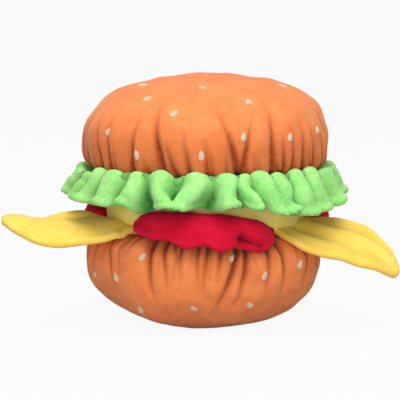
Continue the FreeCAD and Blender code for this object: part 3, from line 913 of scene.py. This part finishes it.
def doubled(name, middle, finish, creases, seed):
    """A flap of two layers about a grid of middle points, whose rows run from seam to hem."""
    half = FLAP_THICKNESS / 2
    normals = grid_normals(middle, False)
    facing = 1 if normals[..., 2].mean() > 0 else -1
    ripple = 0.45 * wander(middle, 17, seed) * eased(lengths(middle, 0) / 12)
    middle = middle + normals * ripple[..., None]
    normals = facing * grid_normals(middle, False)
    out = lengths(middle, 0)
    across = lengths(middle, 1)
    to_hem = out[-1:] - out
    to_side = np.minimum(across, across[:, -1:] - across)
    nearest = 1 / (1 / np.maximum(to_hem, 1e-6) ** 4 + 1 / np.maximum(to_side, 1e-6) ** 4) ** 0.25
    nearest[-1] = 0
    nearest[:, 0] = nearest[:, -1] = 0
    edge = np.clip(nearest / half, 0, 1)
    rolled = 0.1 * np.exp(-((nearest - 2.4) / 1.4) ** 2)
    drawn_in = 0.16 * STITCH_PULL * np.exp(-((nearest - STITCH_INSET) / 1.2) ** 2)
    pillow = 1 + rolled - drawn_in
    thick = half * pillow * np.sqrt(np.maximum(1 - (1 - edge) ** 2, 0))
    upper = middle + normals * thick[..., None]
    under = middle - normals * thick[..., None]
    rows, columns = middle.shape[:2]
    total = rows * columns
    faces = quads(rows, columns, False)
    below = faces[:, ::-1] + total
    strip = [[column + total, column + 1 + total, column + 1, column] for column in range(columns - 1)]
    # Painted shade: the upper layer is darkened in the given creases and in the stitches' groove, the under
    # layer a little all over and in the groove.
    painted_groove_shade = 0.4 * STITCH_PULL * np.exp(-((nearest - STITCH_INSET) / 1.0) ** 2)
    shares = np.stack([np.clip(creases + painted_groove_shade, 0, 1), np.clip(painted_groove_shade + 0.1, 0, 1)])
    points = np.stack([upper, under])
    return make_piece(name, points, faces.tolist() + below.tolist() + strip, finish, crease=shares)


def flap_grid(ribs, rows, columns):
    """A smooth grid through ribs, one column along each of them."""
    ribs = np.array(ribs, float)
    across = spline(ribs, np.linspace(0, len(ribs) - 1, columns))
    along = spline(across.transpose(1, 0, 2), np.linspace(0, ribs.shape[1] - 1, rows))
    return along


def push_out(grid, amount):
    """A grid of points moved up and outward by an amount."""
    normals = grid_normals(grid, False)
    facing = 1 if normals[..., 2].mean() > 0 else -1
    return grid + facing * normals * amount[..., None]


# Each station across the front flap: x, reach, then the crest and the hem above the seam
FRONT_TOMATO = [
    (-38.5, 8.5, 5.6, 3.6), (-36.2, 13.2, 9.6, 2.6), (-32.0, 16.0, 12.6, 1.6), (-26.0, 17.0, 14.0, 1.2),
    (-20.0, 17.2, 14.5, 1.0), (-14.5, 17.2, 14.5, -1.6), (-9.0, 17.2, 14.5, -2.8), (-3.5, 17.0, 14.4, -1.2),
    (2.0, 17.0, 14.2, -1.8), (8.0, 17.4, 13.6, -4.6), (14.0, 17.4, 12.6, -2.8), (20.0, 16.8, 11.2, -2.6),
    (25.5, 16.8, 9.4, -4.8), (30.5, 16.6, 7.2, -6.2), (34.4, 15.0, 5.2, -4.6), (37.4, 10.5, 3.4, -1.0),
]
BACK_TOMATO = [
    (-26.0, 9.5, 5.6, 2.6), (-23.5, 14.0, 9.8, 1.0), (-17.0, 17.0, 13.0, -0.6), (-9.0, 17.2, 14.2, -2.0),
    (0.0, 17.0, 14.4, -3.0), (8.0, 17.2, 13.4, -2.6), (16.0, 17.4, 11.0, -3.6), (22.5, 16.6, 7.6, -2.6),
    (26.0, 11.0, 4.6, -0.8),
]


def tomato_ribs(stations):
    """The bend of the flap at each station: up from the seam, over the crest and down."""
    ribs = []
    for x, reach, rise, hem in stations:
        root_y = -math.sqrt(FLAP_ROOT_RADIUS ** 2 - x ** 2)
        bend = [
            (-1.2, 0.9), (0.10 * reach, 0.42 * rise), (0.24 * reach, 0.74 * rise), (0.50 * reach, rise),
            (0.78 * reach, 0.80 * rise + 0.2 * hem), (0.95 * reach, 0.42 * rise + 0.58 * hem), (reach, hem),
        ]
        ribs.append([(x, root_y - out, LOWER_SEAM_Z + up) for out, up in bend])
    return ribs


def spot_dent(grid, centre, spread, depth):
    """A round dent in a grid of points."""
    away = np.linalg.norm(grid - np.array(centre), axis=-1)
    return depth * np.exp(-(away / spread) ** 2)


def tomato_front():
    """The widest flap, pinched near its right corner, which folds under."""
    grid = flap_grid(tomato_ribs(FRONT_TOMATO), 40, 120)
    dent = spot_dent(grid, (20.5, -69, 56.6), 3.8, -6.4)
    fold = spot_dent(grid, (26.0, -67, 54.0), 3.4, -3.4) + spot_dent(grid, (31.0, -64, 51.0), 3.4, -3.2)
    roll = spot_dent(grid, (31.0, -62, 58.5), 5.5, 1.8)
    left = spot_dent(grid, (-31.0, -60, 60.0), 4.5, -1.3)
    # Painted shade in the dent, the folded corner and the hollow at the left
    creases = np.clip(-(dent + fold) / 4.2, 0, 1) * 0.95 + np.clip(-left, 0, 1) * 0.3
    return doubled("tomato_front", push_out(grid, dent + fold + roll + left), tomato_velour, creases, 71)


def turned(grid, azimuth):
    """A grid of points turned about the upright axis."""
    turn = math.radians(azimuth)
    spin = np.array([
        [math.cos(turn), -math.sin(turn), 0], [math.sin(turn), math.cos(turn), 0], [0, 0, 1],
    ])
    return grid @ spin.T


def tomato_back(name, azimuth, seed):
    """A narrower flap, half hidden behind a cheese flap."""
    grid = turned(flap_grid(tomato_ribs(BACK_TOMATO), 36, 84), azimuth)
    return doubled(name, grid, tomato_velour, np.zeros(grid.shape[:2]), seed)


# Each station of a cheese flap, from the band to its tip: front edge, back edge, middle height
LEFT_CHEESE = [
    ((-38.6, -38.8, 56.3), (-54.4, -2, 57.0), 57.2), ((-48, -43, 54.4), (-60, -0.5, 57.2), 56.8),
    ((-60, -46, 51.6), (-68, 0, 57.2), 55.8), ((-80, -48, 49.2), (-84, -3, 57.4), 55.0),
    ((-94, -46, 50.8), (-96, -8, 58.4), 56.2), ((-105, -41, 55.0), (-106, -17, 59.8), 58.6),
    ((-111, -36, 58.2), (-111.5, -23.5, 60.6), 60.0), ((-113.6, -32.5, 59.6), (-113.7, -27.5, 60.6), 60.2),
]
RIGHT_CHEESE = [
    ((39, -39, 55.8), (54.5, -2, 57.2), 57.2), ((47.6, -45.4, 50.4), (57.5, -1.2, 57.4), 56.2),
    ((57.6, -49, 45.8), (61, -1, 57.2), 54.2), ((73, -52, 42.4), (77, -6, 58.2), 49.6),
    ((87, -51, 38.2), (92, -11, 53.0), 44.8), ((98, -48, 34.8), (103, -22, 44.5), 38.8),
    ((104.2, -44.0, 32.0), (107.0, -32, 36.4), 33.8), ((106.6, -41.5, 31.4), (108.0, -37.6, 32.8), 32.2),
]


def cheese_grid(stations, rows, columns):
    """A smooth grid over the flap, its rows running from the band to the tip."""
    ribs = []
    for front, back, middle_z in stations:
        ribs.append([front, ((front[0] + back[0]) / 2, (front[1] + back[1]) / 2, middle_z), back])
    ribs = np.array(ribs, float)
    along = spline(ribs, np.linspace(0, len(ribs) - 1, rows))
    front, middle, back = along[:, 0], along[:, 1], along[:, 2]
    share = np.linspace(0, 1, columns)[None, :, None]
    bow = middle - (front + back) / 2
    return front[:, None] * (1 - share) + back[:, None] * share + bow[:, None] * 4 * share * (1 - share)


def ridge(place, line, width):
    """A soft ridge across a flap, where place is the share of the way over it."""
    return np.exp(-((place - line) / width) ** 2)


def shares(rows, columns):
    """The share of the way along and across a grid."""
    return np.linspace(0, 1, rows)[:, None], np.linspace(0, 1, columns)[None, :]


def cheese(name, stations, folds, seed, azimuth):
    """A cheese flap with its own folds, turned to its place."""
    rows, columns = 84, 64
    out, across = shares(rows, columns)
    grid = cheese_grid(stations, rows, columns)
    amount, creases = folds(out, across)
    grid = turned(push_out(grid, amount * np.ones((rows, columns))), azimuth)
    return doubled(name, grid, cheese_velour, creases * np.ones((rows, columns)), seed)


def left_folds(out, across):
    """A full, evenly rounded flap with a pucker at its front root and a curled lobe at the back."""
    body = 2.6 * np.sin(math.pi * across) * eased(out * 4) * eased((1 - out) * 3)
    body = body + 2.8 * ridge(across, 0.3, 0.22) * ridge(out, 0.1, 0.14)
    notch = -1.2 * ridge(across, 0.05, 0.1) * ridge(out, 0.12, 0.035)
    lobe = 3.6 * ridge(across, 0.88, 0.1) * ridge(out, 0.32, 0.13)
    gap = -1.6 * ridge(across, 0.72, 0.06) * ridge(out, 0.32, 0.15)
    # The second share is painted shade, in the notch and the gap
    return body + notch + lobe + gap, np.clip(-(notch + gap) / 2.6, 0, 1) * 0.8


def right_folds(out, across):
    """A roll along the front, a valley beside it, a middle ridge and a hollow behind that."""
    roll = 2.0 * ridge(across, 0.17, 0.13) * eased(out * 5) * eased((0.75 - out) * 3)
    valley = -3.0 * ridge(across, 0.36 + 0.12 * out, 0.09) * eased(out * 5) * eased((0.5 - out) * 3.5)
    crest = 2.4 * ridge(across, 0.56 + 0.1 * out, 0.11) * eased(out * 5) * eased((0.95 - out) * 3)
    hollow = -1.2 * ridge(across, 0.8, 0.13) * eased(out * 4) * eased((0.95 - out) * 4)
    # The second share is painted shade, in the valley and the hollow
    return roll + valley + crest + hollow, np.clip(-(valley + hollow) / 3.0, 0, 1) * 0.4


def hang(piece, node):
    """A flap takes the place of its part from the frame, its transform baked into its mesh."""
    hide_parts(node)
    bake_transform(piece)


hang(
    tomato_front(), "tomato_flap_front",
)
for label, azimuth, seed in (("back_left", -125, 72), ("back_right", 125, 73)):
    body = "tomato_" + label
    hang(
        tomato_back(body, azimuth, seed), "tomato_flap_" + label,
    )
# The flap behind is the left one, turned
for label, stations, folds, seed, turn, azimuth in (
    ("left", LEFT_CHEESE, left_folds, 74, 0.0, -66.5),
    ("right", RIGHT_CHEESE, right_folds, 75, 0.0, 66.5),
    ("back", LEFT_CHEESE, left_folds, 76, -114.0, -180.5),
):
    body = "cheese_" + label
    hang(
        cheese(body, stations, folds, seed, turn), "cheese_flap_" + label,
    )


# Carried-over solids keep their shape and get their finish

for node, finish in (
    ("upper_gather_thread", gather_thread), ("lower_gather_thread", gather_thread),
    ("squeaker_bellows", squeaker_plastic), ("squeaker_reed", reed_plastic),
):
    solid = frame["nodes"][node]
    for slot_index in range(len(solid.material_slots)):
        solid.material_slots[slot_index].material = finish


# Floor, light and camera

def floor():
    """A pale floor that stays white to the camera but keeps a soft shadow."""
    mesh = bpy.data.meshes.new("floor")
    reach, level = 6.0, -0.0003
    corners = [(x * reach, y * reach, level) for x, y in ((-1, -1), (1, -1), (1, 1), (-1, 1))]
    mesh.from_pydata(corners, [], [(0, 1, 2, 3)])
    finish = Finish("floor white")
    seen = finish.value("ShaderNodeLightPath", "Is Camera Ray")
    matt = finish.value("ShaderNodeBsdfDiffuse", 0, None, {"Color": (0.55, 0.55, 0.55, 1.0)})
    white = finish.value("ShaderNodeEmission", 0, None, {"Color": (1.0, 1.0, 1.0, 1.0), "Strength": 1.0})
    both = finish.node("ShaderNodeMixShader", None, {0: seen * 0.93, 1: matt, 2: white})
    finish.node("ShaderNodeOutputMaterial", None, {"Surface": both.outputs[0]})
    mesh.materials.append(finish.material)
    placed("floor", mesh)


def world():
    """Even studio light, seen by the camera as white."""
    sky = bpy.data.worlds.new("studio")
    bpy.context.scene.world = sky
    sky.use_nodes = True
    tree = sky.node_tree
    tree.nodes.clear()
    path = add_node(tree, "ShaderNodeLightPath")
    strength = add_node(tree, "ShaderNodeMapRange", None, {
        "Value": path.outputs["Is Camera Ray"], "To Min": 0.40, "To Max": 1.0,
    })
    light = add_node(tree, "ShaderNodeBackground", None, {"Strength": strength.outputs[0]})
    add_node(tree, "ShaderNodeOutputWorld", None, {"Surface": light.outputs[0]})


def lamp(name, place, size, power):
    """A square soft light aimed at the toy's middle."""
    data = bpy.data.lights.new(name, "AREA")
    data.size = size
    data.energy = power
    obj = placed(name, data)
    aim = np.array([0.0, 0.0, 0.07]) - np.array(place)
    turn = math.atan2(-aim[0], aim[1])
    tilt = math.atan2(math.hypot(aim[0], aim[1]), -aim[2])
    obj.location = place
    obj.rotation_euler = (tilt, 0.0, turn)


def camera():
    """The photograph's viewpoint: straight on and a little above."""
    lens = bpy.data.cameras.new("camera")
    lens.lens = 600.0
    lens.sensor_width = 36.0
    eye = placed("camera", lens)
    elevation = math.radians(8.0)
    distance = 3.747
    target = (-0.00309, 0.0, 0.06847)
    eye.location = (
        target[0], target[1] - distance * math.cos(elevation), target[2] + distance * math.sin(elevation),
    )
    eye.rotation_euler = (math.pi / 2 - elevation, 0.0, 0.0)
    bpy.context.scene.camera = eye


floor()
world()
lamp("key light", (0.12, -1.0, 1.1), 0.8, 10.5)
lamp("fill light", (0.0, -1.3, 0.08), 0.9, 9.5)
lamp("top light", (-0.1, 0.0, 1.3), 0.7, 8.0)
camera()

scene = bpy.context.scene
scene.view_settings.view_transform = "Standard"
